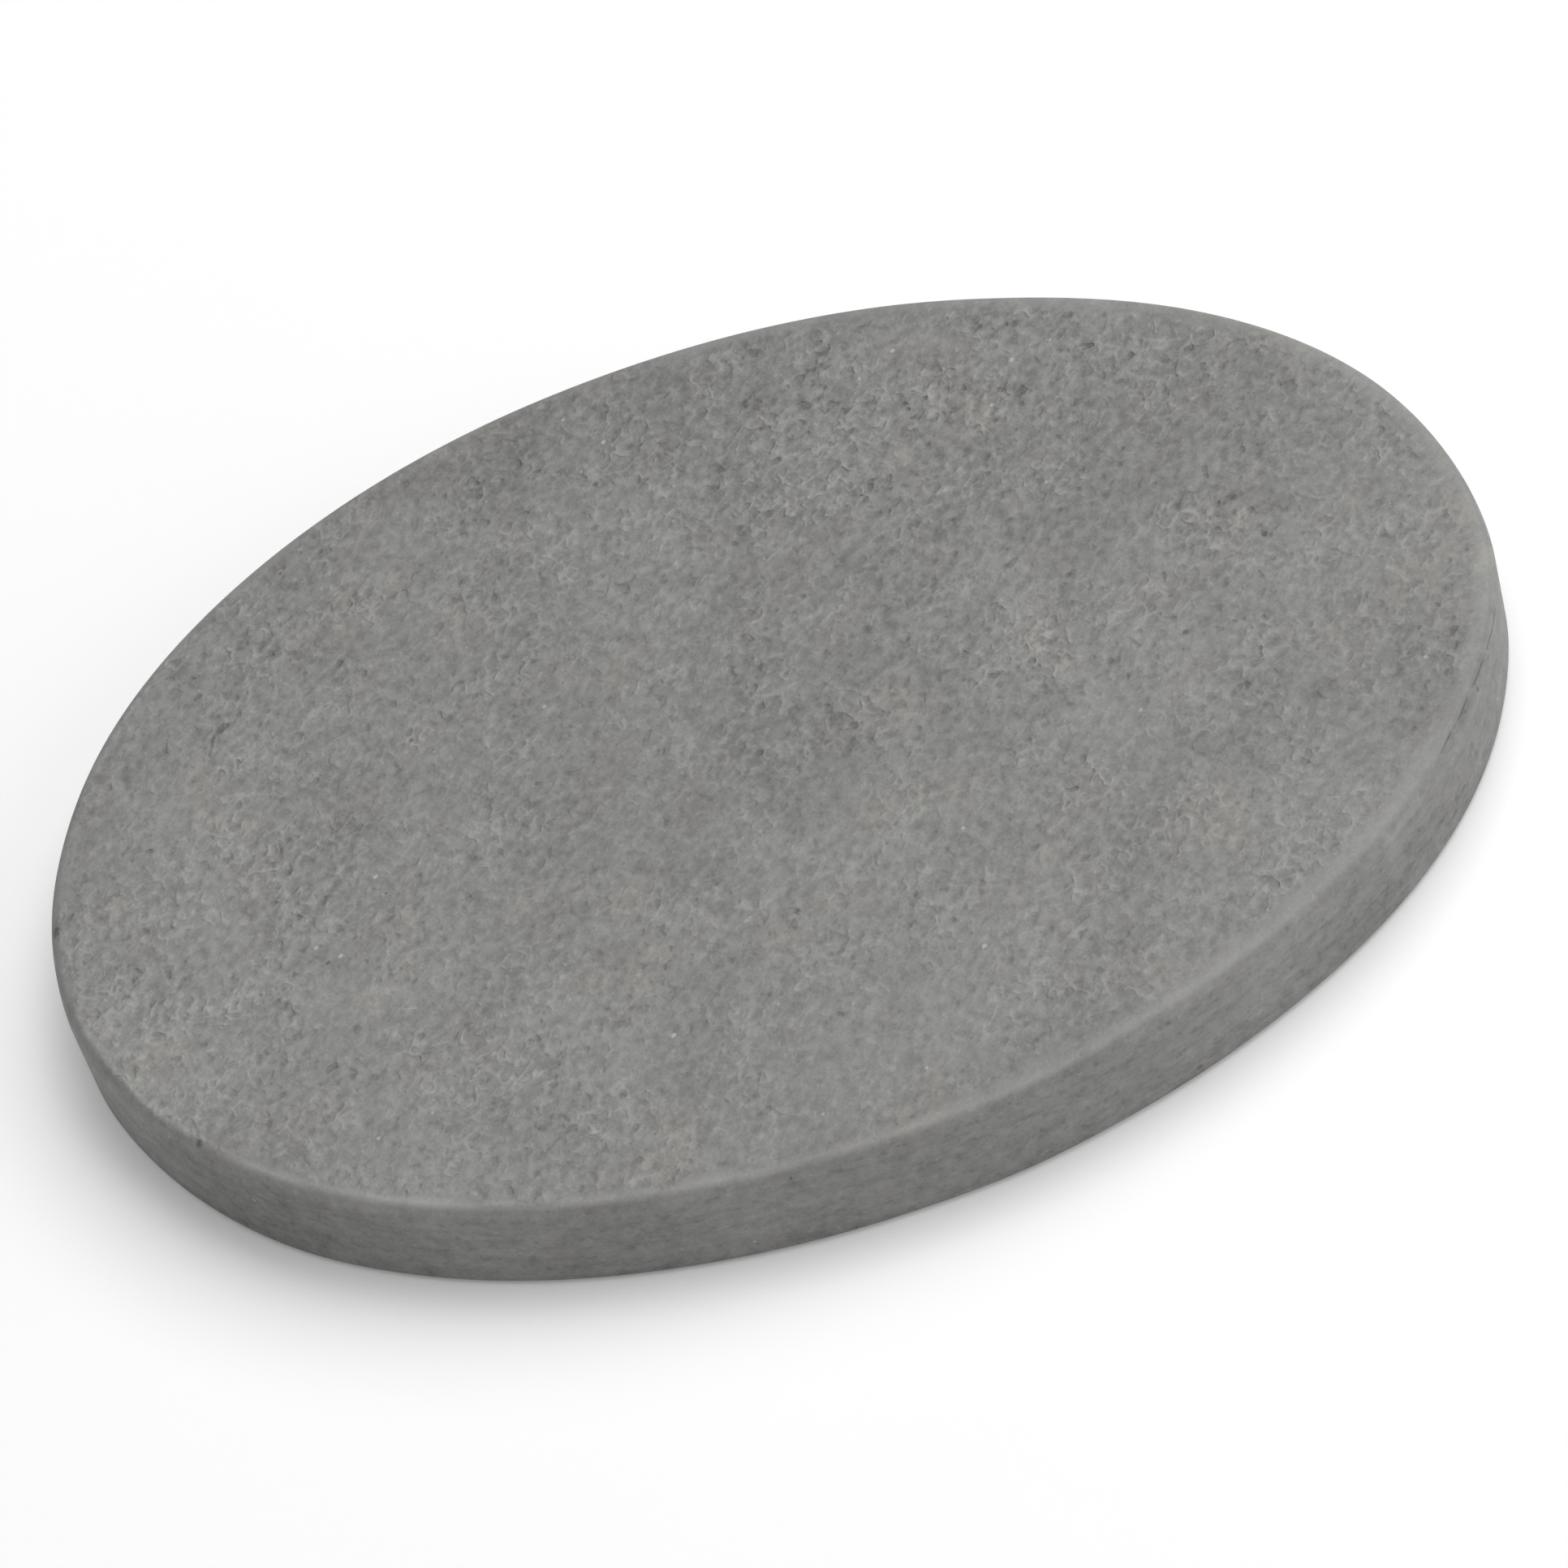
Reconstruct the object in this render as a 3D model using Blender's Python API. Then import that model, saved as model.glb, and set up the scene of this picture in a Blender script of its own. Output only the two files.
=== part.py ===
"""Basalt massage stone: one flat oval slab of natural basalt, sawn, cut to an oval and honed round its rims.

The stone lies flat in the XY plane on its resting face, with +Z up. The origin is the middle of the
resting face. +X runs along the oval and +Y across it. Both broad faces are flat and parallel. The wall
between them stands square to the faces, and its upper rim is honed rounder than its lower.
"""

from math import cos, pi, radians, sin

import bmesh
import bpy
from mathutils import Vector

# Driving dimensions, in metres
LENGTH = 0.120  # the oval's overall length, along X
WIDTH = 0.085  # the oval's overall width, along Y
THICKNESS = 0.010  # of the sawn slab, along Z
TOP_REACH = 0.0010  # how far in from the outline the upper rim's round begins
TOP_DROP = 0.0017  # how far below the upper face it ends
FOOT_ROUND = 0.0009  # radius that breaks the lower rim

# Shape of the oval, without units
OUTLINE_POWER = 2.03  # 2 is an ellipse, and more is squarer
EGG_ALONG = 0.0033  # share of the radius by which the +X end is fuller than the -X end
EGG_ACROSS = -0.0028  # the same across: below zero, the +Y side is the fuller one

# Fineness of the facets
OUTLINE_POINTS = 120  # round the oval
TOP_ROUND_STEPS = 6  # up the upper round
FOOT_ROUND_STEPS = 4  # up the lower radius

# Honed basalt
STONE_COLOUR = (0.235, 0.235, 0.227, 1.0)
STONE_ROUGHNESS = 0.78

NODE = "basalt_stone"
SHARP_ANGLE = radians(30)


def clear_scene():
    """Removes every object that the file opened with."""
    for thing in list(bpy.data.objects):
        bpy.data.objects.remove(thing, do_unlink=True)


def stone_material():
    """Dull grey stone, not metallic."""
    material = bpy.data.materials.new("basalt")
    material.use_nodes = True
    shader = material.node_tree.nodes["Principled BSDF"]
    shader.inputs["Base Color"].default_value = STONE_COLOUR
    shader.inputs["Roughness"].default_value = STONE_ROUGHNESS
    shader.inputs["Metallic"].default_value = 0.0
    return material


def radius_at(angle):
    """The oval's radius in a direction: a superellipse, made slightly egg-shaped by a third harmonic."""
    along = abs(cos(angle) * 2 / LENGTH) ** OUTLINE_POWER
    across = abs(sin(angle) * 2 / WIDTH) ** OUTLINE_POWER
    oval = (along + across) ** (-1 / OUTLINE_POWER)
    return oval * (1 + EGG_ALONG * cos(3 * angle) + EGG_ACROSS * sin(3 * angle))


def fitted(values, span):
    """The same values, moved and stretched so that they span exactly this far about zero."""
    low, high = min(values), max(values)
    return [(value - (low + high) / 2) * span / (high - low) for value in values]


def outline():
    """The oval's points, anticlockwise, with a box of exactly LENGTH by WIDTH about the origin."""
    angles = [2 * pi * step / OUTLINE_POINTS for step in range(OUTLINE_POINTS)]
    along = fitted([radius_at(angle) * cos(angle) for angle in angles], LENGTH)
    across = fitted([radius_at(angle) * sin(angle) for angle in angles], WIDTH)
    return list(zip(along, across))


def rim_edges(mesh, height):
    """The edges that lie all round the slab at this height."""
    near = THICKNESS / 100
    return [edge for edge in mesh.edges if all(abs(end.co.z - height) < near for end in edge.verts)]


def round_rim(mesh, height, radius, steps):
    """Hones a quarter-circle radius along the rim at this height."""
    bmesh.ops.bevel(
        mesh,
        geom=rim_edges(mesh, height),
        offset=radius,
        offset_type="OFFSET",
        segments=steps,
        profile=0.5,
        affect="EDGES",
    )


def steepen_upper_rim(mesh):
    """Squeezes the upper rim's round outwards, so that its quarter circle becomes a quarter ellipse.

    Each point of the round keeps its height, and its distance from the nearest corner of the outline
    shrinks by the ratio of TOP_REACH to TOP_DROP."""
    corners = [Vector(corner) for corner in outline()]
    for point in mesh.verts:
        if point.co.z > THICKNESS - TOP_DROP:
            corner = min(corners, key=lambda spot: (spot - point.co.xy).length)
            point.co.xy = corner + (point.co.xy - corner) * TOP_REACH / TOP_DROP


def build_stone():
    """The whole stone: the oval, drawn up to the slab's thickness, with both rims honed round."""
    mesh = bmesh.new()
    foot = mesh.faces.new([mesh.verts.new((x, y, 0.0)) for x, y in outline()])
    drawn = bmesh.ops.extrude_face_region(mesh, geom=[foot], use_keep_orig=True)
    lifted = [part for part in drawn["geom"] if isinstance(part, bmesh.types.BMVert)]
    bmesh.ops.translate(mesh, verts=lifted, vec=(0.0, 0.0, THICKNESS))
    round_rim(mesh, THICKNESS, TOP_DROP, TOP_ROUND_STEPS)
    round_rim(mesh, 0.0, FOOT_ROUND, FOOT_ROUND_STEPS)
    steepen_upper_rim(mesh)
    bmesh.ops.recalc_face_normals(mesh, faces=mesh.faces)

    shape = bpy.data.meshes.new(NODE)
    mesh.to_mesh(shape)
    mesh.free()
    shape.materials.append(stone_material())
    shape.shade_smooth()
    shape.set_sharp_from_angle(angle=SHARP_ANGLE)
    stone = bpy.data.objects.new(NODE, shape)
    bpy.context.scene.collection.objects.link(stone)
    return stone


def main():
    clear_scene()
    build_stone()


main()
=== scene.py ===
"""The looks of a basalt massage stone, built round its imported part.

The stone is one closed surface, worked out with numpy: a flat upper face of fine pits and ridges, a
smoother honed rim and wall, and a sawn underside. Its stone is a procedural material. Lengths in this
file are in metres, apart from those whose name or comment says millimetres.
"""

from math import cos, pi, radians, sin

import bpy
import numpy as np
from mathutils import Matrix, Vector


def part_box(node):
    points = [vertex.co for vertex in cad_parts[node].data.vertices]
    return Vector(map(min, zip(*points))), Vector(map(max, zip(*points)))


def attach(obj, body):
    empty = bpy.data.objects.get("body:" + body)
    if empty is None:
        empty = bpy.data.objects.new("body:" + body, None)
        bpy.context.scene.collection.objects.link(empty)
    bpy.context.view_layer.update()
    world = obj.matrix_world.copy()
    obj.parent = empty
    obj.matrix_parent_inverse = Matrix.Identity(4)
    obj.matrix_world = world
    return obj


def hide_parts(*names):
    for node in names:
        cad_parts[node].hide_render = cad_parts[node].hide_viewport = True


bl_info = {
    "name": "Basalt Massage Stone",
    "version": (1, 0, 0),
    "blender": (4, 5, 0),
    "location": "3D View > Sidebar > Stone",
    "description": "Builds a flat oval massage stone of honed basalt, with its floor, light and camera",
    "category": "Object",
}

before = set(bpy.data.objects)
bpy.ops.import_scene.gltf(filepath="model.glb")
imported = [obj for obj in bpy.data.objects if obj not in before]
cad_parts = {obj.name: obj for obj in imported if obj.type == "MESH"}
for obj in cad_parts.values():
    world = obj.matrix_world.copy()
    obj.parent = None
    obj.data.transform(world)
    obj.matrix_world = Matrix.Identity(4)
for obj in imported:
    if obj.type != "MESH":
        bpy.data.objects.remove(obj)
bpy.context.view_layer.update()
NODE = "basalt_stone"
STONE_LOW, STONE_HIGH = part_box(NODE)
MM = 0.001
FULL_TURN = 2 * pi


# ---------------------------------------------------------------- settings


class StoneShape(bpy.types.PropertyGroup):
    """Sizes of the stone."""

    length: bpy.props.FloatProperty(
        name="Length", description="Overall length of the oval", unit="LENGTH", precision=4,
        default=STONE_HIGH[0] - STONE_LOW[0], min=0.02,
    )
    width: bpy.props.FloatProperty(
        name="Width", description="Overall width of the oval", unit="LENGTH", precision=4,
        default=STONE_HIGH[1] - STONE_LOW[1], min=0.02,
    )
    thickness: bpy.props.FloatProperty(
        name="Thickness", description="Thickness of the sawn slab", unit="LENGTH", precision=4,
        default=STONE_HIGH[2] - STONE_LOW[2], min=0.005,
    )
    upper_reach: bpy.props.FloatProperty(
        name="Upper reach", description="How far in from the outline the rounded upper rim begins",
        unit="LENGTH", precision=4, default=0.0010, min=0.0002,
    )
    upper_drop: bpy.props.FloatProperty(
        name="Upper drop", description="How far below the upper face its rounded rim ends",
        unit="LENGTH", precision=4, default=0.0017, min=0.0002,
    )
    foot_round: bpy.props.FloatProperty(
        name="Foot radius", description="Radius that breaks the lower rim", unit="LENGTH", precision=4,
        default=0.0009, min=0.0002,
    )
    squareness: bpy.props.FloatProperty(
        name="Squareness", description="Power of the oval: 2 is an ellipse, and more is squarer",
        default=2.03, min=1.5, max=4.0,
    )
    egg_along: bpy.props.FloatProperty(
        name="Egg along", description="Share by which the +X end is fuller than the other",
        default=0.0033, min=-0.05, max=0.05, precision=4,
    )
    egg_across: bpy.props.FloatProperty(
        name="Egg across", description="Share by which the -Y side is fuller than the other",
        default=-0.0028, min=-0.05, max=0.05, precision=4,
    )
    hand_waves: bpy.props.FloatProperty(
        name="Hand waves", description="How much hand grinding shows in the outline, 0 for not at all",
        default=1.0, min=0.0, max=4.0,
    )
    wave_depth: bpy.props.FloatProperty(
        name="Wave depth", description="Height of the long, shallow waves left by sawing and honing",
        unit="LENGTH", precision=6, default=0.00004, min=0.0,
    )
    grain_depth: bpy.props.FloatProperty(
        name="Grain depth", description="Height of the rough faces' coarser grain",
        unit="LENGTH", precision=6, default=0.00005, min=0.0,
    )
    pit_depth: bpy.props.FloatProperty(
        name="Pit depth", description="Depth of the deepest small pits in the rough faces",
        unit="LENGTH", precision=6, default=0.00010, min=0.0,
    )
    crack_depth: bpy.props.FloatProperty(
        name="Crack depth", description="Depth of the hairline crack in the honed rim",
        unit="LENGTH", precision=6, default=0.00008, min=0.0,
    )


class StoneFinish(bpy.types.PropertyGroup):
    """Colours and gloss of the stone."""

    stone: bpy.props.FloatVectorProperty(
        name="Stone", description="The basalt's own grey", subtype="COLOR", size=3,
        default=(0.229, 0.228, 0.2197), min=0.0, max=1.0,
    )
    # the dark of pits and cracks is partly their own colour and partly painted shade
    pit: bpy.props.FloatVectorProperty(
        name="Pits", description="The dark of pits and cracks", subtype="COLOR", size=3,
        default=(0.055, 0.055, 0.053), min=0.0, max=1.0,
    )
    speck: bpy.props.FloatVectorProperty(
        name="Specks", description="Pale feldspar specks", subtype="COLOR", size=3,
        default=(0.52, 0.52, 0.50), min=0.0, max=1.0,
    )
    rough_gloss: bpy.props.FloatProperty(
        name="Face roughness", description="Roughness of the pitted face", subtype="FACTOR",
        default=0.86, min=0.0, max=1.0,
    )
    honed_gloss: bpy.props.FloatProperty(
        name="Rim roughness", description="Roughness of the honed rim and wall", subtype="FACTOR",
        default=0.62, min=0.0, max=1.0,
    )


class StageSettings(bpy.types.PropertyGroup):
    """Floor, light and camera."""

    floor: bpy.props.FloatVectorProperty(
        name="Floor", description="Colour of the pale floor", subtype="COLOR", size=3,
        default=(0.86, 0.86, 0.86), min=0.0, max=1.0,
    )
    key_power: bpy.props.FloatProperty(
        name="Key light", description="Power of the high softbox behind and to the right",
        subtype="POWER", default=18.5, min=0.0,
    )
    top_power: bpy.props.FloatProperty(
        name="Top light", description="Power of the softbox overhead",
        subtype="POWER", default=13.4, min=0.0,
    )
    side_power: bpy.props.FloatProperty(
        name="Side light", description="Power of the low softbox on the right",
        subtype="POWER", default=9.7, min=0.0,
    )
    floor_glow: bpy.props.FloatProperty(
        name="Floor glow", description="Light that the translucent floor lets through from below",
        default=0.144, min=0.0,
    )
    sky: bpy.props.FloatProperty(
        name="Room light", description="Strength of the even light from all round",
        default=0.03, min=0.0,
    )


# ---------------------------------------------------------------- noise in numpy


def scrambled(cells, seed):
    """A number from 0 to 1 for each cell, given as whole numbers (..., 3).

    The three numbers are multiplied by large odd numbers and joined bit by bit, and the result's bits
    are mixed by shifts and more multiplications."""
    whole = cells.astype(np.int64).astype(np.uint32)
    mixed = whole[..., 0] * np.uint32(0x8DA6B343)
    mixed = mixed ^ (whole[..., 1] * np.uint32(0xD8163841))
    mixed = mixed ^ (whole[..., 2] * np.uint32(0xCB1AB31F))
    mixed = mixed ^ np.uint32((seed * 0x9E3779B1) & 0xFFFFFFFF)
    for shift, factor in ((15, 0x2C1B3C6D), (12, 0x297A2D39), (15, 0x9C1B3C6D)):
        mixed = (mixed ^ (mixed >> np.uint32(shift))) * np.uint32(factor)
    return (mixed ^ (mixed >> np.uint32(16))) / 2.0**32


def smooth_noise(points, size, seed):
    """Soft random hills from -1 to 1, about this far apart.

    Each point of a cubic lattice has a random height. Between them the height is blended along each
    axis by the curve 6t^5 - 15t^4 + 10t^3, which is flat at both ends."""
    place = points / size
    cell = np.floor(place)
    t = place - cell
    ease = t * t * t * (t * (t * 6 - 15) + 10)
    total = np.zeros(points.shape[:-1])
    for corner in np.ndindex(2, 2, 2):
        share = np.prod(np.where(np.array(corner) == 1, ease, 1 - ease), axis=-1)
        total += share * scrambled(cell + corner, seed)
    return total * 2 - 1


def layered_noise(points, size, seed, layers=3, gain=0.55):
    """Smooth noise with finer layers added, each half the size and `gain` the height of the last."""
    heights = gain ** np.arange(layers)
    total = sum(
        height * smooth_noise(points, size / 2**k, seed + k) for k, height in enumerate(heights)
    )
    return total / heights.sum()


def pit_field(points, spacing, seed, share, widest):
    """Depth from 0 to 1 of pits scattered over the points.

    Space is cut into cubes of the given spacing, and this share of them holds one pit, at a random
    place in its cube, with a random radius up to `widest` and a random depth. At a distance d from its
    centre a pit of radius r and depth h is h (1 - (d/r)^2)^2 deep."""
    cell = np.floor(points / spacing)
    deepest = np.zeros(points.shape[:-1])
    for step in np.ndindex(3, 3, 3):
        near = cell + np.array(step) - 1
        spot = np.stack([scrambled(near, seed + k) for k in range(3)], axis=-1)
        gap = np.linalg.norm(points - (near + spot) * spacing, axis=-1)
        radius = widest * (0.45 + 0.55 * scrambled(near, seed + 3))
        depth = 0.35 + 0.65 * scrambled(near, seed + 4)
        there = scrambled(near, seed + 5) < share
        bowl = np.clip(1 - (gap / radius) ** 2, 0, 1) ** 2 * depth
        deepest = np.maximum(deepest, np.where(there, bowl, 0))
    return deepest


def eased(values, low, high):
    """0 below low, 1 above high, and the curve 3t^2 - 2t^3 between."""
    t = np.clip((values - low) / (high - low), 0, 1)
    return t * t * (3 - 2 * t)


# ---------------------------------------------------------------- the stone's surface

FACE_CELLS = 240  # squares along each side of the upper face's grid
SOLE_CELLS = FACE_CELLS // 2  # the underside has half as many
UPPER_STEPS = 9  # rings up the upper round
WALL_STEPS = 13  # rings up the wall
FOOT_STEPS = 4  # rings up the foot radius
FINE_STEPS = 4096  # steps round the oval when its box is measured
SOLE_MARGIN = 0.35 * MM  # the underside's grid ends this far inside the foot radius

GROUND = (  # where hand grinding left the outline fuller or flatter: angle, reach in degrees, height in mm
    (6, 7, -0.16),
    (47, 12, -0.25),
    (100, 25, -0.05),
    (166, 8, -0.22),
    (185, 5, 0.16),
    (209, 7, 0.14),
    (242, 15, -0.18),
    (280, 10, 0.22),
    (314, 13, -0.18),
    (353, 5, 0.14),
)


def raw_oval(angle, shape):
    """The oval before it is fitted to its box, as (..., 2).

    In the direction t its radius is (|cos t / a|^p + |sin t / b|^p)^(-1/p), where a and b are half
    the length and width and p is the squareness, times 1 + e cos 3t + f sin 3t, plus for each place
    in GROUND its height times exp(-(d/w)^2), where d is the angle from it and w its reach."""
    along = np.abs(np.cos(angle) * 2 / shape.length) ** shape.squareness
    across = np.abs(np.sin(angle) * 2 / shape.width) ** shape.squareness
    radius = (along + across) ** (-1 / shape.squareness)
    radius *= 1 + shape.egg_along * np.cos(3 * angle) + shape.egg_across * np.sin(3 * angle)
    for place, reach, height in GROUND:
        away = (angle - radians(place) + pi) % FULL_TURN - pi
        radius += height * MM * np.exp(-((away / radians(reach)) ** 2)) * shape.hand_waves
    return np.stack([radius * np.cos(angle), radius * np.sin(angle)], axis=-1)


def oval(angle, shape):
    """The stone's outline seen from above: the raw oval, moved and stretched to fill its box."""
    all_round = raw_oval(np.linspace(0, FULL_TURN, FINE_STEPS, endpoint=False), shape)
    low, high = all_round.min(axis=0), all_round.max(axis=0)
    size = np.array([shape.length, shape.width])
    return (raw_oval(angle, shape) - (low + high) / 2) * size / (high - low)


def outward(angle, shape):
    """The outline's unit normal in the ground plane: its direction of travel, turned a quarter right."""
    step = 1e-4
    travel = oval(angle + step, shape) - oval(angle - step, shape)
    normal = np.stack([travel[..., 1], -travel[..., 0]], axis=-1)
    return normal / np.linalg.norm(normal, axis=-1, keepdims=True)


def disc_grid(cells):
    """A disc's polar coordinates on a square grid whose edge is the disc's edge.

    For a point (p, q) of the square from -1 to 1, the radius is the larger of |p| and |q|, and the
    angle grows evenly along each side of the square through the point."""
    line = np.linspace(-1, 1, cells + 1)
    p, q = np.meshgrid(line, line, indexing="ij")
    wide = np.abs(p) >= np.abs(q)
    reach = np.where(wide, p, q)
    safe = np.where(reach == 0, 1, reach)
    turn = np.where(wide, pi / 4 * q / safe, pi / 2 - pi / 4 * p / safe)
    return np.abs(reach), np.where(reach < 0, turn + pi, turn)


def grid_edge(cells):
    """The numbers of a square grid's edge points, anticlockwise from the corner at (1, -1)."""
    number = np.arange((cells + 1) ** 2).reshape(cells + 1, cells + 1)
    return np.concatenate(
        [number[-1, :-1], number[:0:-1, -1], number[0, :0:-1], number[:-1, 0]]
    )


def grid_faces(cells):
    """A square grid's faces, as four point numbers each, anticlockwise seen from +Z."""
    number = np.arange((cells + 1) ** 2).reshape(cells + 1, cells + 1)
    return np.stack(
        [number[:-1, :-1], number[1:, :-1], number[1:, 1:], number[:-1, 1:]], axis=-1
    ).reshape(-1, 4)


def section(shape):
    """The rim's section from the upper face's flat edge to the underside's.

    Returns, for each ring, how far it lies inside the outline, its height, the tilt of its normal
    above level and its distance along the section from the first ring. The section is a quarter
    ellipse of the upper reach and drop, a straight wall and a quarter circle of the foot radius."""
    reach, drop, foot = shape.upper_reach, shape.upper_drop, shape.foot_round
    turn_up = np.linspace(pi / 2, 0, UPPER_STEPS + 1)
    turn_down = np.linspace(0, -pi / 2, FOOT_STEPS + 1)
    wall = np.linspace(shape.thickness - drop, foot, WALL_STEPS + 1)[1:-1]
    inset = np.concatenate([reach * (1 - np.cos(turn_up)), 0 * wall, foot * (1 - np.cos(turn_down))])
    height = np.concatenate(
        [shape.thickness - drop + drop * np.sin(turn_up), wall, foot + foot * np.sin(turn_down)]
    )
    upper_tilt = np.arctan2(np.sin(turn_up) * reach, np.cos(turn_up) * drop)
    tilt = np.concatenate([upper_tilt, 0 * wall, turn_down])
    travel = np.concatenate([[0], np.cumsum(np.hypot(np.diff(inset), np.diff(height)))])
    return inset, height, tilt, travel


class Skin:
    """Points of the stone's surface with their normals and their places along and across the rim."""

    def __init__(self, angle, inset, height, tilt, across, scale, shape):
        rim = oval(angle, shape) - outward(angle, shape) * inset[..., None]
        level = np.cos(tilt)[..., None] * outward(angle, shape)
        self.points = np.concatenate([rim * scale[..., None], height[..., None]], axis=-1).reshape(-1, 3)
        self.normals = np.concatenate([level, np.sin(tilt)[..., None]], axis=-1).reshape(-1, 3)
        self.across = across.reshape(-1)
        self.turn = (angle.reshape(-1) + pi) % FULL_TURN - pi


def flat_skin(cells, inset, height, up, edge_travel, shape):
    """One of the two flat faces: the disc grid, stretched to the outline less its rim radius.

    `across` is how far a point lies inside the flat edge, below zero, measured towards the middle."""
    radius, angle = disc_grid(cells)
    every = np.full_like(angle, inset)
    width = np.linalg.norm(oval(angle, shape) - outward(angle, shape) * every[..., None], axis=-1)
    inside = edge_travel + np.where(up > 0, -1, 1) * (1 - radius) * width
    return Skin(
        angle, every, np.full_like(angle, height), np.full_like(angle, up * pi / 2), inside, radius, shape
    )


def rim_skin(shape):
    """The rim and wall: each ring of the section, at the angles of the upper face's edge."""
    _, angle = disc_grid(FACE_CELLS)
    angle = angle.reshape(-1)[grid_edge(FACE_CELLS)]
    inset, height, tilt, travel = (column[:, None] + 0 * angle for column in section(shape))
    angle = angle + 0 * inset
    return Skin(angle, inset, height, tilt, travel, np.ones_like(angle), shape)


HOLES = (  # middle of each larger hole and its radius, all in mm
    (20.7, 26.0, 10.0, 0.38),
    (28.1, 25.8, 10.0, 0.30),
    (36.6, 10.7, 10.0, 0.32),
    (43.1, 2.2, 10.0, 0.28),
    (49.8, -14.2, 10.0, 0.26),
    (-26.5, -6.1, 10.0, 0.30),
    (-8.35, 1.7, 10.0, 0.26),
    (-8.2, 1.35, 10.0, 0.22),
    (-2.5, -18.2, 10.0, 0.28),
    (14.4, 20.0, 10.0, 0.24),
    (13.9, 14.7, 10.0, 0.22),
    (3.1, 19.6, 10.0, 0.24),
    (12.8, 8.2, 10.0, 0.22),
    (-58.9, 4.7, 9.75, 0.32),
    (-58.8, 5.1, 9.75, 0.30),
    (-52.6, -20.1, 9.85, 0.30),
)
CRACK_FROM, CRACK_TO = radians(-28), radians(-8)  # angles at which the crack starts and ends
CRACK_BEND = (radians(-22), radians(-9))  # angles between which it drops
CRACK_START_MM = 0.72  # how far past the flat edge it runs before that
CRACK_FALL_MM = 1.05
CRACK_WANDER_MM = 0.12


def hole_gap(points):
    """How far each point lies outside the edge of the nearest hole, below zero inside it, in mm."""
    gaps = [np.linalg.norm(points / MM - np.array(hole[:3]), axis=-1) - hole[3] for hole in HOLES]
    return np.min(gaps, axis=0)


def crack_gap(skin):
    """How far across the rim each point lies from the crack, in metres.

    The crack runs along the rim 0.7 mm below the flat edge, and drops by another millimetre over its
    last two thirds, following 3t^2 - 2t^3, with a slight wander."""
    drop = eased(skin.turn, *CRACK_BEND)
    wander = layered_noise(skin.points * np.array([1, 1, 0]), 1.8 * MM, 71, 2) * CRACK_WANDER_MM
    return skin.across - (CRACK_START_MM + CRACK_FALL_MM * drop + wander) * MM


def crack_share(skin):
    """How open the crack is at each point's angle, from 0 beyond its ends to 1 along most of it."""
    begins = eased(skin.turn, CRACK_FROM, CRACK_FROM + radians(3))
    return begins * (1 - eased(skin.turn, CRACK_TO - radians(5), CRACK_TO))


def relief(skin, shape):
    """Moves the points along their normals, and returns how rough each one is, from 0 to 1.

    The rough faces have shallow waves, a coarse grain and pits, all in patches of their own. They fade
    out over a millimetre of uneven width before the rim, later on the -X side than on the other, and
    only slight honed waves go on round the rim. The holes and the crack are pressed in, and the high
    points of the underside are worn level with the surface that the stone rests on."""
    points = skin.points
    wander = layered_noise(points, 5 * MM, 11, 2) * 0.8 * MM
    margin = (0.5 + 0.5 * np.cos(skin.turn + radians(25))) * MM
    last = section(shape)[3][-1]
    from_rim = np.maximum(-skin.across, skin.across - last) + wander - margin
    rough = eased(from_rim, -0.7 * MM, 0.4 * MM)
    patch = 0.75 + 0.5 * layered_noise(points, 16 * MM, 21, 2)
    wave = layered_noise(points, 15 * MM, 31, 2)
    grain = layered_noise(points, 1.6 * MM, 41, 2, 0.6)
    pits = pit_field(points, 1.5 * MM, 51, 0.5, 0.75 * MM)
    hole = np.clip(0.25 - hole_gap(points), 0, 0.5) * 2
    groove = np.clip(1 - np.abs(crack_gap(skin)) / (0.3 * MM), 0, 1) * crack_share(skin)
    height = wave * shape.wave_depth * (0.6 + 0.4 * rough)
    height += rough * patch * (grain * shape.grain_depth - pits * shape.pit_depth)
    height -= hole * shape.pit_depth * 1.5 + groove * shape.crack_depth
    skin.points = points + skin.normals * height[:, None]
    skin.points[:, 2] = np.maximum(skin.points[:, 2], 0)
    return rough


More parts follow.
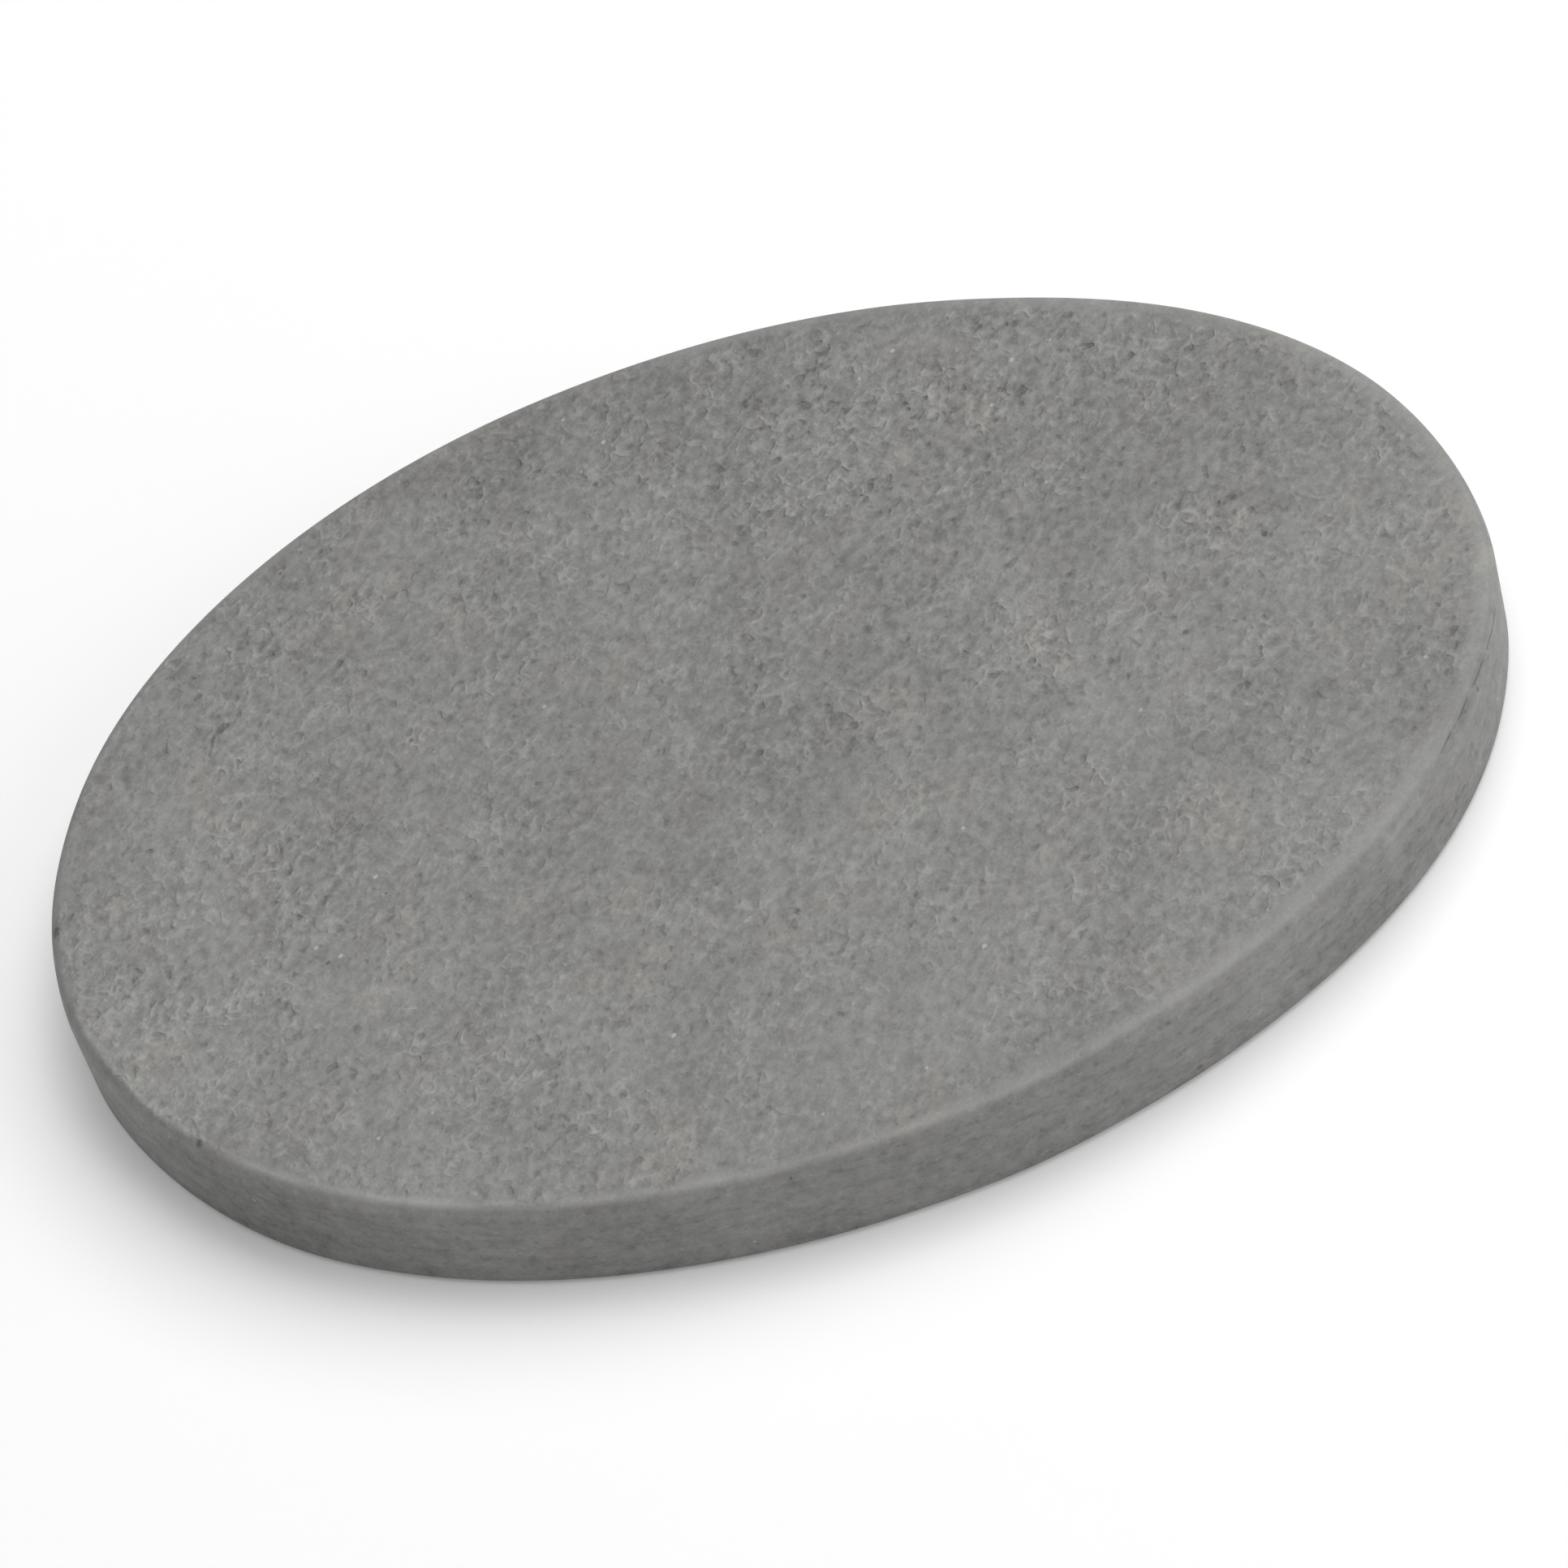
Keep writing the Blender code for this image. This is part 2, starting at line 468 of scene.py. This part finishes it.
def stone_surface(shape):
    """The stone's closed mesh: points, faces and what the material reads at each point."""
    inset, _, _, travel = section(shape)
    face = flat_skin(FACE_CELLS, inset[0], shape.thickness, 1, 0.0, shape)
    rim = rim_skin(shape)
    sole = flat_skin(SOLE_CELLS, inset[-1] + SOLE_MARGIN, 0.0, -1, travel[-1] + SOLE_MARGIN, shape)
    skins = (face, rim, sole)
    cracks = np.concatenate([crack_gap(skin) / MM for skin in skins])
    open_cracks = np.concatenate([crack_share(skin) for skin in skins])
    rough = np.concatenate([relief(skin, shape) for skin in skins])

    round_count = 4 * FACE_CELLS
    rings = len(travel)
    rim_start = len(face.points)
    sole_start = rim_start + len(rim.points)
    ring = rim_start + np.arange(rings * round_count).reshape(rings, round_count)
    ring[0] = grid_edge(FACE_CELLS)
    ahead = np.roll(ring, -1, axis=1)
    band = np.stack([ring[:-1], ring[1:], ahead[1:], ahead[:-1]], axis=-1).reshape(-1, 4)

    edge = sole_start + grid_edge(SOLE_CELLS)
    edge_ahead = np.roll(edge, -1)
    last, middle, after = ring[-1, ::2], ring[-1, 1::2], np.roll(ring[-1, ::2], -1)
    stitch = np.concatenate(
        [
            np.stack([last, edge, middle], axis=-1),
            np.stack([middle, edge, edge_ahead], axis=-1),
            np.stack([middle, edge_ahead, after], axis=-1),
        ]
    )
    quads = np.concatenate([grid_faces(FACE_CELLS), band, sole_start + grid_faces(SOLE_CELLS)[:, ::-1]])
    points = np.concatenate([skin.points for skin in skins])
    across = np.concatenate([skin.across for skin in skins]) / MM
    on_wall = eased(across, 1.0, 2.6)
    on_rim = eased(across, -0.5, 0.2) * (1 - eased(across, 1.0, 1.8))
    # the stone's own clouds, with painted shade at the back of the face and painted light at its front
    tone = soft_zones(points, CLOUDS_AND_PAINTED_SHADING, ZONE_BEND_MM) + 1
    # painted shade on the wall
    tone += on_wall * soft_zones(points, WALL_PAINTED_SHADE, ZONE_BEND_MM)
    # painted light and shade on the round between the upper face and the wall
    tone += on_rim * soft_zones(points, RIM_PAINTED_LIGHT_AND_SHADE, ZONE_BEND_MM)
    values = {
        "rough": rough,
        "rugged": soft_zones(points, RUGGED, 0.0) + 1,
        "tone": tone,
        "across": across,
        "hole": hole_gap(points),
        "crack": cracks,
        "open": open_cracks,
    }
    return points, quads, stitch, values


ZONE_BEND_MM = 6.0  # how far noise shifts the soft zones' edges

CLOUDS_AND_PAINTED_SHADING = (  # middle of each soft cloud, its reach along X and Y, all in mm, and its strength; besides the stone's own clouds they make the back darker and the front lighter, which is painted shade and painted light
    (0, 42, 45, 9, -0.08),
    (5, 29, 11, 6, -0.09),
    (12, 17, 9, 6, -0.11),
    (28, -14, 9, 6, -0.05),
    (-24, 37, 9, 6, -0.07),
    (38, 14, 12, 8, -0.10),
    (26, 5, 12, 5, -0.04),
    (-20, -3, 12, 6, -0.06),
    (-4, 4, 9, 6, -0.13),
    (-32, 26, 14, 6, -0.09),
    (25, -7, 9, 6, 0.10),
    (14, -26, 14, 10, 0.09),
    (-48, 10, 8, 8, 0.05),
    (-48, -11, 12, 9, 0.07),
    (-57, -12, 6, 14, 0.08),
    (-44, -30, 8, 6, 0.05),
    (50, -3, 9, 7, 0.03),
    (-18, -18, 12, 6, 0.11),
    (-34, -30, 11, 9, 0.13),
    (38, -24, 10, 8, 0.05),
)

# The next two are painted light and shade, which partly balance the stage's light. Left empty, the wall and
# rim are as even as the faces.
WALL_PAINTED_SHADE = (  # painted shade on the wall alone, each zone given the same way
    (-50, -24, 22, 20, -0.145),
    (10, -44, 30, 10, -0.02),
    (48, -26, 14, 14, -0.06),
)

RIM_PAINTED_LIGHT_AND_SHADE = (  # painted light and shade on the round between the upper face and the wall, each zone given the same way
    (-47, -24, 24, 20, 0.16),
    (0, -43, 16, 8, 0.05),
    (52, -22, 11, 11, -0.13),
)

RUGGED = (  # the same for how strong the grain is
    (26, 25, 16, 12, 0.30),
    (4, 30, 12, 8, 0.20),
    (-54, 0, 9, 16, 0.04),
    (50, -2, 9, 14, -0.08),
    (-14, -4, 16, 9, -0.25),
    (-2, -32, 20, 10, -0.20),
)


def soft_zones(points, zones, bend):
    """The sum of soft zones, which is zero far from all of them.

    Each is its strength times exp(-(x/w)^2 - (y/h)^2) about its middle, in places that noise shifts by
    up to `bend` millimetres."""
    shift = np.stack([layered_noise(points, 12 * MM, 61 + k, 3) for k in range(2)], axis=-1)
    place = points[:, :2] / MM + shift * bend
    total = np.zeros(len(points))
    for x, y, width, height, strength in zones:
        total += strength * np.exp(-(((place[:, 0] - x) / width) ** 2) - ((place[:, 1] - y) / height) ** 2)
    return total


def new_mesh(name, points, quads, triangles=None, values=None):
    """A smooth-shaded mesh from arrays, with one number at each point for each named attribute."""
    if triangles is None:
        triangles = np.zeros((0, 3), int)
    corners = np.concatenate([quads.reshape(-1), triangles.reshape(-1)]).astype(np.int32)
    sizes = np.concatenate([np.full(len(quads), 4), np.full(len(triangles), 3)]).astype(np.int32)
    mesh = bpy.data.meshes.new(name)
    mesh.vertices.add(len(points))
    mesh.vertices.foreach_set("co", points.astype(np.float32).reshape(-1))
    mesh.loops.add(len(corners))
    mesh.loops.foreach_set("vertex_index", corners)
    mesh.polygons.add(len(sizes))
    mesh.polygons.foreach_set("loop_start", (np.cumsum(sizes) - sizes).astype(np.int32))
    mesh.polygons.foreach_set("use_smooth", np.ones(len(sizes), bool))
    for title, numbers in (values or {}).items():
        layer = mesh.attributes.new(title, "FLOAT", "POINT")
        layer.data.foreach_set("value", numbers.astype(np.float32))
    mesh.update(calc_edges=True)
    mesh.validate()
    thing = bpy.data.objects.new(name, mesh)
    bpy.context.scene.collection.objects.link(thing)
    return thing


# ---------------------------------------------------------------- materials


class Signal:
    """A number in a node tree. Python's operators on it add the Math nodes that do the sum."""

    def __init__(self, shading, socket):
        self.shading = shading
        self.socket = socket

    def __add__(self, other):
        return self.shading.math("ADD", self, other)

    def __sub__(self, other):
        return self.shading.math("SUBTRACT", self, other)

    def __mul__(self, other):
        return self.shading.math("MULTIPLY", self, other)

    def __abs__(self):
        return self.shading.math("ABSOLUTE", self)


class Shading:
    """A new material's node tree."""

    def __init__(self, name):
        self.material = bpy.data.materials.new(name)
        self.material.use_nodes = True
        self.tree = self.material.node_tree
        self.tree.nodes.clear()
        self.patterns = 0

    def node(self, kind, settings=None, inputs=None):
        """A new node: its settings are set first, then each input gets its value or its link."""
        made = self.tree.nodes.new(kind)
        for key, value in (settings or {}).items():
            setattr(made, key, value)
        for key, value in (inputs or {}).items():
            if isinstance(value, Signal):
                self.tree.links.new(value.socket, made.inputs[key])
            else:
                made.inputs[key].default_value = value
        return made

    def out(self, made, output=0):
        return Signal(self, made.outputs[output])

    def math(self, operation, *values):
        made = self.node("ShaderNodeMath", {"operation": operation}, dict(enumerate(values)))
        return self.out(made)

    def step(self, value, low, high, to_low=0.0, to_high=1.0):
        """Eases from to_low to to_high as the value goes from low to high."""
        made = self.node(
            "ShaderNodeMapRange",
            {"interpolation_type": "SMOOTHSTEP"},
            {0: value, 1: low, 2: high, 3: to_low, 4: to_high},
        )
        return self.out(made)

    def places(self, stretch=(1, 1, 1), turn=0.0):
        """The piece's own coordinates in millimetres, turned about Z, with a pattern drawn out along
        each turned axis."""
        coordinates = self.out(self.node("ShaderNodeTexCoord"), "Object")
        mapping = self.node(
            "ShaderNodeMapping",
            {"vector_type": "TEXTURE"},
            {"Vector": coordinates, "Rotation": (0, 0, turn), "Scale": tuple(MM * part for part in stretch)},
        )
        return self.out(mapping)

    def noise(self, places, size, detail=2.0, rough=0.55, bend=0.0):
        """Layered noise from 0 to 1 about this many millimetres across, each one a pattern of its own."""
        self.patterns += 1
        made = self.node(
            "ShaderNodeTexNoise",
            {"noise_dimensions": "4D"},
            {
                "Vector": places, "W": 7.3 * self.patterns, "Scale": 1 / size,
                "Detail": detail, "Roughness": rough, "Distortion": bend,
            },
        )
        return self.out(made, 0)

    def cells(self, places, size):
        """Cells about this many millimetres across: distance from the nearest middle, and two random
        numbers for each cell."""
        made = self.node("ShaderNodeTexVoronoi", {"feature": "F1"}, {"Vector": places, "Scale": 1 / size})
        parts = self.node("ShaderNodeSeparateColor", None, {0: self.out(made, "Color")})
        return self.out(made, "Distance"), self.out(parts, 0), self.out(parts, 1)

    def at_points(self, title):
        """A number that the mesh holds at each of its points."""
        settings = {"attribute_type": "GEOMETRY", "attribute_name": title}
        return self.out(self.node("ShaderNodeAttribute", settings), "Fac")

    def blend(self, factor, first, second, kind="MIX"):
        """A colour mixed from two."""
        settings = {"data_type": "RGBA", "blend_type": kind, "clamp_factor": True}
        return self.out(self.node("ShaderNodeMix", settings, {0: factor, 6: first, 7: second}), 2)

    def finish(self, constants, **inputs):
        """Ends the tree in a Principled shader, with these constants and these varying inputs."""
        shader = self.node("ShaderNodeBsdfPrincipled", None, {**constants, **inputs})
        self.node("ShaderNodeOutputMaterial", None, {"Surface": self.out(shader)})
        return self.material


def grey(level):
    return (level, level, level, 1.0)


def tinted(colour, warmth):
    """A colour with its red made this much stronger and its blue as much weaker."""
    return (colour[0] * warmth, colour[1], colour[2] / warmth, 1.0)


def scattered(shading, places, size, share, reach):
    """Round dots, 1 at their middles and 0 outside: this share of the cells holds one."""
    gap, pick, girth = shading.cells(places, size)
    there = shading.step(pick, share - 0.01, share + 0.01, 1.0, 0.0)
    return shading.step(gap - girth * reach * 0.5, reach * 0.15, reach * 0.55, 1.0, 0.0) * there


def face_pattern(shading, places, rugged):
    """The rough faces' grain, raised ridges and small hollows, as three numbers from 0 to 1."""
    grain = shading.noise(places, 0.85, 2.0, 0.5, 0.15)
    light_patches = shading.step(shading.noise(places, 5.0, 3.0), 0.38, 0.58)
    dark_patches = shading.step(shading.noise(places, 4.0, 3.0), 0.36, 0.58)
    worms = abs(shading.noise(places, 1.4, 1.0, 0.5, 0.4) - 0.5)
    broken = shading.step(shading.noise(places, 1.2, 1.0), 0.42, 0.54)
    ridges = shading.step(worms, 0.0, 0.11, 1.0, 0.0) * broken * light_patches * rugged
    hollows = shading.step(shading.noise(places, 1.0, 1.0, 0.5, 0.3), 0.30, 0.45, 1.0, 0.0)
    return grain, ridges, hollows * dark_patches * rugged


def wall_tone_and_painted_shade(shading, places, wall):
    """How much the honed wall differs from the faces: darker all over by painted shade, with mottles, spots
    and level streaks.
    """
    mottles = (shading.noise(places, 1.3, 4.0, 0.65) - 0.5) * 0.85
    long_streaks = (shading.noise(shading.places((14, 14, 1)), 0.8, 2.0) - 0.5) * 0.42
    streaks = shading.step(shading.noise(shading.places((5, 5, 1)), 0.5, 3.0, 0.6), 0.52, 0.70) * 0.14
    spots = shading.step(shading.noise(places, 0.8, 1.0), 0.62, 0.72) * 0.18
    # the constant 0.055 is painted shade that darkens the whole wall
    return (mottles + long_streaks - streaks - spots - 0.055) * wall


def rim_tone_and_painted_shade(shading, places, across):
    """A thin pale line along the upper edge, a slightly pale shoulder below it, and a darker foot that is
    painted shade.
    """
    pale = shading.step(across, -0.9, 0.1) * shading.step(across, 0.3, 0.9, 1.0, 0.0)
    shoulder = shading.step(across, 0.6, 1.2) * shading.step(across, 1.3, 2.6, 1.0, 0.0)
    # how pale the thin line along the upper edge is, varied by noise
    pale_strength = shading.noise(places, 2.5, 2.0) * 0.10 + 0.05
    # the darker foot is painted shade
    return pale * pale_strength + shoulder * 0.085 - shading.step(across, 9.1, 10.1) * 0.12


def stone_material(finish):
    """Grey basalt: cloudy, pitted and rough on its faces, and honed smooth round its rim."""
    shading = Shading("basalt")
    places = shading.places((1.2, 0.95, 1), radians(35))
    rough = shading.at_points("rough")
    across = shading.at_points("across")
    rugged = shading.at_points("rugged") * (shading.noise(places, 8.0, 2.0) + 0.5)
    grain, ridges, hollows = face_pattern(shading, places, rugged)

    # tone: large clouds, medium mottling, grain and fine speckle, with painted light and shade in the
    # clouds, on the wall, round the rim, at the foot and in the hollows
    tone = shading.at_points("tone")
    tone = tone + (shading.noise(places, 9.0, 5.0, 0.55) - 0.5) * 0.5
    tone = tone + (grain - 0.5) * rugged * (rough * 0.6 + 0.3)
    tone = tone + (shading.noise(places, 1.8, 2.0, 0.5, 0.3) - 0.5) * 0.30
    tone = tone + (shading.noise(places, 0.27, 2.0, 0.7) - 0.5) * 0.52
    # the hollows' dark is partly the stone's own and partly painted shade
    tone = tone + (ridges * 0.21 - hollows * 0.20) * rough
    crystals = shading.step(shading.noise(places, 0.5, 1.0), 0.63, 0.78)
    dull = shading.step(shading.noise(places, 0.45, 1.0), 0.24, 0.37, 1.0, 0.0)
    tone = tone + crystals * 0.20 - dull * 0.14
    # the wall's overall darkening is painted shade
    tone = tone + wall_tone_and_painted_shade(shading, places, shading.step(across, 0.3, 1.2))
    # the darker foot at the bottom of the wall is painted shade
    tone = tone + rim_tone_and_painted_shade(shading, places, across)
    drift = shading.step(shading.noise(places, 6.0, 3.0), 0.35, 0.65)
    stone = shading.blend(drift, tinted(finish.stone, 1.01), tinted(finish.stone, 0.99))
    colour = shading.blend(1.0, stone, tone, "MULTIPLY")

    # pale specks, and small dark pits, the larger holes and the hairline crack, whose dark is partly their
    # own colour and partly painted shade
    specks = scattered(shading, places, 3.3, 0.35, 0.075)
    specks = shading.math("MAXIMUM", specks, scattered(shading, places, 1.7, 0.12, 0.08) * 0.7)
    pits = scattered(shading, places, 3.4, 0.20, 0.09)
    ragged = shading.noise(places, 0.45, 2.0) * 0.8 - 0.4
    holes = shading.step(shading.at_points("hole") + ragged, -0.14, 0.16, 1.0, 0.0)
    broken = shading.step(shading.noise(places, 1.3, 2.0), 0.36, 0.56) * shading.at_points("open")
    crack = shading.step(abs(shading.at_points("crack")), 0.02, 0.10, 1.0, 0.0) * broken
    # the dark of pits, holes and crack is partly their own colour and partly painted shade
    dark = shading.math("MAXIMUM", shading.math("MAXIMUM", pits * 0.6, holes * 0.6), crack * 0.7)
    colour = shading.blend(specks * 0.55, colour, tuple(finish.speck) + (1.0,))
    colour = shading.blend(dark, colour, tuple(finish.pit) + (1.0,))

    # height in mm of what is too fine for the mesh
    face = grain * 0.27 + ridges * 0.065 - hollows * 0.08 + crystals * 0.02
    honed = shading.noise(places, 0.7, 2.0, 0.5) * 0.02
    height = face * rough * rugged + honed - dark * 0.05
    bump = shading.node("ShaderNodeBump", None, {"Strength": 1.0, "Distance": MM, "Height": height})
    gloss = rough * (finish.rough_gloss - finish.honed_gloss) + finish.honed_gloss
    return shading.finish(
        {"Metallic": 0.0, "IOR": 1.5},
        **{"Base Color": colour, "Roughness": gloss, "Normal": shading.out(bump)},
    )


def floor_material(stage):
    """Matt white paper with the faintest of fibres, lit from below, and more so in a ring further out."""
    shading = Shading("paper")
    places = shading.places()
    fibres = shading.noise(places, 30.0, 2.0)
    tone = (fibres - 0.5) * 0.01 + 1.0
    colour = shading.blend(1.0, tuple(stage.floor) + (1.0,), tone, "MULTIPLY")
    away = shading.out(shading.node("ShaderNodeVectorMath", {"operation": "LENGTH"}, {0: places}), "Value")
    ring = shading.step(away, *GLOW_GROWS_MM) * shading.step(away, *GLOW_FADES_MM, 1.0, 0.0)
    glow = ring * GLOW_GAIN + 1.0
    constants = {"Roughness": 0.9, "Specular IOR Level": 0.2, "Emission Strength": stage.floor_glow}
    return shading.finish(constants, **{"Base Color": colour, "Emission Color": glow})


def backdrop_material():
    """Evenly lit white paper."""
    shading = Shading("backdrop_paper")
    constants = {"Base Color": grey(0.0), "Specular IOR Level": 0.0, "Roughness": 1.0}
    return shading.finish({**constants, "Emission Color": grey(1.0), "Emission Strength": BACKDROP_GLOW})


# ---------------------------------------------------------------- stage

FLOOR_REACH = 2.6  # radius of the flat floor
SWEEP = 0.9  # radius of the curve by which it turns up into a low wall
FLOOR_ROUND = 96
FLOOR_RINGS = 24
FLOOR_DROP = 0.00001  # the floor lies this far below the resting face, so that the two never coincide
GLOW_GROWS_MM = (300.0, 900.0)  # distances from the stone between which the floor's glow grows
GLOW_FADES_MM = (1150.0, 1400.0)  # and between which it falls back, out of sight behind the backdrop
GLOW_GAIN = 4.0  # how much it grows by, as a multiple of the glow near the stone
BACKDROP_REACH = 1.1  # radius of the round backdrop
BACKDROP_HEIGHT = 1.5
BACKDROP_GLOW = 0.96

# The camera looks at a point near the stone's middle, from this far, and is turned about its own axis
CAMERA_TARGET = (0.00019, -0.00178, 0.005)
CAMERA_DISTANCE = 0.600
CAMERA_AZIMUTH = radians(-2.11)
CAMERA_ELEVATION = radians(51.33)
CAMERA_ROLL = radians(-17.81)
CAMERA_LENS_MM = 171.6


def floor_surface():
    """A flat round floor that turns up at its edge.

    A ring at share s of the way out has the radius R s^2 while it is flat, and then follows a quarter
    circle of the sweep's radius."""
    share = np.linspace(0, 1, FLOOR_RINGS + 1)[1:]
    turn = np.linspace(0, pi / 2, FLOOR_RINGS + 1)[1:]
    radius = np.concatenate([FLOOR_REACH * share**2, FLOOR_REACH + SWEEP * np.sin(turn)])
    height = np.concatenate([0 * share, SWEEP * (1 - np.cos(turn))]) - FLOOR_DROP
    angle = np.linspace(0, FULL_TURN, FLOOR_ROUND, endpoint=False)
    rings = np.stack(
        [np.outer(radius, np.cos(angle)), np.outer(radius, np.sin(angle)), np.outer(height, 0 * angle + 1)],
        axis=-1,
    )
    number = 1 + np.arange(len(radius) * FLOOR_ROUND).reshape(len(radius), FLOOR_ROUND)
    ahead = np.roll(number, -1, axis=1)
    quads = np.stack([number[:-1], number[1:], ahead[1:], ahead[:-1]], axis=-1).reshape(-1, 4)
    middle = np.stack([0 * number[0], number[0], ahead[0]], axis=-1)
    points = np.concatenate([[[0, 0, -FLOOR_DROP]], rings.reshape(-1, 3)])
    return points, quads, middle


def backdrop_surface():
    """An upright round wall: a circle at the floor's height, drawn straight up, its faces inwards."""
    angle = np.linspace(0, FULL_TURN, FLOOR_ROUND, endpoint=False)
    ring = np.stack([BACKDROP_REACH * np.cos(angle), BACKDROP_REACH * np.sin(angle), 0 * angle], axis=-1)
    foot = np.arange(FLOOR_ROUND)
    head = foot + FLOOR_ROUND
    points = np.concatenate([ring, ring + np.array([0, 0, BACKDROP_HEIGHT])])
    return points, np.stack([np.roll(foot, -1), foot, head, np.roll(head, -1)], axis=-1)


def direction(azimuth, elevation):
    """The unit vector towards a viewer at this azimuth, where 0 is on -Y and 90 degrees on +X."""
    return Vector((sin(azimuth) * cos(elevation), -cos(azimuth) * cos(elevation), sin(elevation)))


def softbox(name, azimuth, elevation, distance, size, power):
    """A square area light that faces the stone."""
    lamp = bpy.data.lights.new(name, "AREA")
    lamp.shape = "SQUARE"
    lamp.size = size
    lamp.energy = power
    thing = bpy.data.objects.new(name, lamp)
    towards = direction(azimuth, elevation)
    thing.location = towards * distance
    thing.rotation_euler = towards.to_track_quat("Z", "Y").to_euler()
    bpy.context.scene.collection.objects.link(thing)


def room_light(strength):
    """Even white light from all round."""
    world = bpy.data.worlds.new("room")
    world.use_nodes = True
    background = world.node_tree.nodes["Background"]
    background.inputs["Color"].default_value = grey(1.0)
    background.inputs["Strength"].default_value = strength
    bpy.context.scene.world = world


def place_camera():
    """Puts the camera where its azimuth, elevation and distance say, then rolls it."""
    back = direction(CAMERA_AZIMUTH, CAMERA_ELEVATION)
    level = Vector((cos(CAMERA_AZIMUTH), sin(CAMERA_AZIMUTH), 0))
    upright = back.cross(level)
    right = cos(CAMERA_ROLL) * level + sin(CAMERA_ROLL) * upright
    above = back.cross(right)
    data = bpy.data.cameras.new("camera")
    data.lens = CAMERA_LENS_MM
    data.sensor_width = 36.0
    data.clip_start = 0.01
    data.clip_end = 20.0
    camera = bpy.data.objects.new("camera", data)
    camera.location = Vector(CAMERA_TARGET) + back * CAMERA_DISTANCE
    camera.rotation_euler = Matrix((right, above, back)).transposed().to_euler()
    bpy.context.scene.collection.objects.link(camera)
    bpy.context.scene.camera = camera


# ---------------------------------------------------------------- operators


class STONE_OT_make_stone(bpy.types.Operator):
    """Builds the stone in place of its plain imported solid."""

    bl_idname = "stone.make_stone"
    bl_label = "Make the stone"

    def execute(self, context):
        scene = context.scene
        points, quads, stitch, values = stone_surface(scene.stone_shape)
        stone = new_mesh("honed_basalt_stone", points, quads, stitch, values)
        stone.data.materials.append(stone_material(scene.stone_finish))
        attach(stone, "root")
        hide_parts(NODE)
        return {"FINISHED"}


class STONE_OT_set_stage(bpy.types.Operator):
    """Lays the floor, puts up a backdrop that gives no light, and sets the lights and the camera."""

    bl_idname = "stone.set_stage"
    bl_label = "Set the stage"

    def execute(self, context):
        stage = context.scene.stone_stage
        floor = new_mesh("floor", *floor_surface())
        floor.data.materials.append(floor_material(stage))
        backdrop = new_mesh("backdrop", *backdrop_surface())
        backdrop.data.materials.append(backdrop_material())
        for rays in ("diffuse", "glossy", "transmission", "shadow"):
            setattr(backdrop, f"visible_{rays}", False)
        softbox("key", radians(130), radians(60), 1.6, 1.4, stage.key_power)
        softbox("overhead", radians(0), radians(88), 1.8, 1.8, stage.top_power)
        softbox("side", radians(60), radians(25), 1.6, 1.4, stage.side_power)
        room_light(stage.sky)
        place_camera()
        context.scene.view_settings.view_transform = "Standard"
        return {"FINISHED"}


class STONE_PT_panel(bpy.types.Panel):
    """Lists the stone's operators and settings."""

    bl_label = "Massage stone"
    bl_space_type = "VIEW_3D"
    bl_region_type = "UI"
    bl_category = "Stone"

    def draw(self, context):
        for operator in OPERATORS:
            self.layout.operator(operator.bl_idname)
        for group in GROUPS:
            box = self.layout.box()
            settings = getattr(context.scene, group)
            for name in settings.bl_rna.properties.keys():
                if name not in ("name", "rna_type"):
                    box.prop(settings, name)


OPERATORS = (STONE_OT_make_stone, STONE_OT_set_stage)
GROUPS = {"stone_shape": StoneShape, "stone_finish": StoneFinish, "stone_stage": StageSettings}


def register():
    for kind in (*GROUPS.values(), *OPERATORS, STONE_PT_panel):
        bpy.utils.register_class(kind)
    for name, kind in GROUPS.items():
        setattr(bpy.types.Scene, name, bpy.props.PointerProperty(type=kind))


def unregister():
    for name in GROUPS:
        delattr(bpy.types.Scene, name)
    for kind in reversed((*GROUPS.values(), *OPERATORS, STONE_PT_panel)):
        bpy.utils.unregister_class(kind)


def main():
    register()
    bpy.ops.stone.make_stone()
    bpy.ops.stone.set_stage()


if __name__ == "__main__":
    main()
